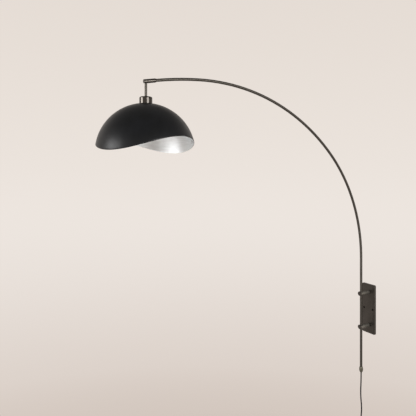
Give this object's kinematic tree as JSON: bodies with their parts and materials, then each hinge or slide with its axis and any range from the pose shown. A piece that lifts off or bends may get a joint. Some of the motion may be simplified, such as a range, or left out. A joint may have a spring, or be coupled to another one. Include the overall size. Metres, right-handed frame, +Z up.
{
  "type": "arc wall lamp",
  "caption": "Plug-in wall lamp with a long bowed arm that swivels on a wall plate and a domed, wavy-rimmed metal shade hanging from its tip.",
  "frame": {"origin": "middle of the wall plate's back, on the wall", "axes": "+X into the wall, the bow reaches out along -X, +Z up"},
  "size_m": [1.4756, 0.3846, 1.9648],
  "materials": {
    "bronze_paint": "satin, dark bronze",
    "gunmetal": "polished dark steel",
    "shade_metal": "satin black outside, brushed silver inside",
    "steel": "zinc plated",
    "nylon": "natural moulded, black",
    "phenolic": "moulded, black",
    "brass": "bright",
    "insulation": "smooth",
    "bulb_cap": "bright",
    "bulb_glass": "frosted",
    "lead": "smooth, black",
    "switch_plastic": "fine spark texture"
  },
  "bodies": {
    "wall_bracket": {"wall_plate": "bronze_paint", "upper_post": "bronze_paint", "lower_post": "bronze_paint", "upper_bushing": "nylon", "lower_bushing": "nylon", "post_screws": "steel", "cord_upper": "lead", "cord_middle": "lead", "cord_coil": "lead", "cord_tail": "lead", "cord_tie": "nylon", "switch_base": "switch_plastic", "switch_cover": "switch_plastic", "switch_screws": "steel", "plug_body": "lead", "plug_blades": "brass"},
    "upper_knob": {"upper_clamp_knob": "bronze_paint"},
    "lower_knob": {"lower_clamp_knob": "bronze_paint"},
    "arm": {"upright_rod": "bronze_paint", "bow_tube": "bronze_paint", "bow_coupler": "steel", "bow_wiring": "insulation", "rod_ferrule": "gunmetal", "cord_grip": "nylon", "connector": "bronze_paint", "connector_cap": "bronze_paint", "connector_set_screw": "steel", "pivot_pins": "steel"},
    "pendant": {"swivel_ball": "gunmetal", "downrod": "bronze_paint", "socket_cup": "gunmetal", "cup_locknut": "steel", "lampholder": "phenolic", "screw_shell": "brass", "centre_contact": "brass", "shade_ring": "phenolic", "shade": "shade_metal", "bulb_base": "bulb_cap", "bulb_glass": "bulb_glass", "pendant_wiring": "insulation"},
    "rocker": {"switch_rocker": "phenolic"}
  },
  "joints": [
    {"name": "arm_swivel", "type": "hinge", "parent": "wall_bracket", "child": "arm", "pos_m": [-0.0645, 0, 0], "axis": [0, 0, 1], "range_deg": [-80, 80]},
    {"name": "upper_knob_turn", "type": "hinge", "parent": "wall_bracket", "child": "upper_knob", "pos_m": [-0.0735, 0, 0.088], "axis": [-1, 0, 0], "range_deg": [0, 270]},
    {"name": "lower_knob_turn", "type": "hinge", "parent": "wall_bracket", "child": "lower_knob", "pos_m": [-0.0735, 0, -0.088], "axis": [-1, 0, 0], "range_deg": [0, 270]},
    {"name": "pendant_swing", "type": "hinge", "parent": "arm", "child": "pendant", "pos_m": [-1.27847, 0, 1.09627], "axis": [0, 1, 0], "range_deg": [-12, 12]},
    {"name": "rocker_press", "type": "hinge", "parent": "wall_bracket", "child": "rocker", "pos_m": [-0.069, 0, -0.613], "axis": [0, 1, 0], "range_deg": [0, 16]}
  ]
}
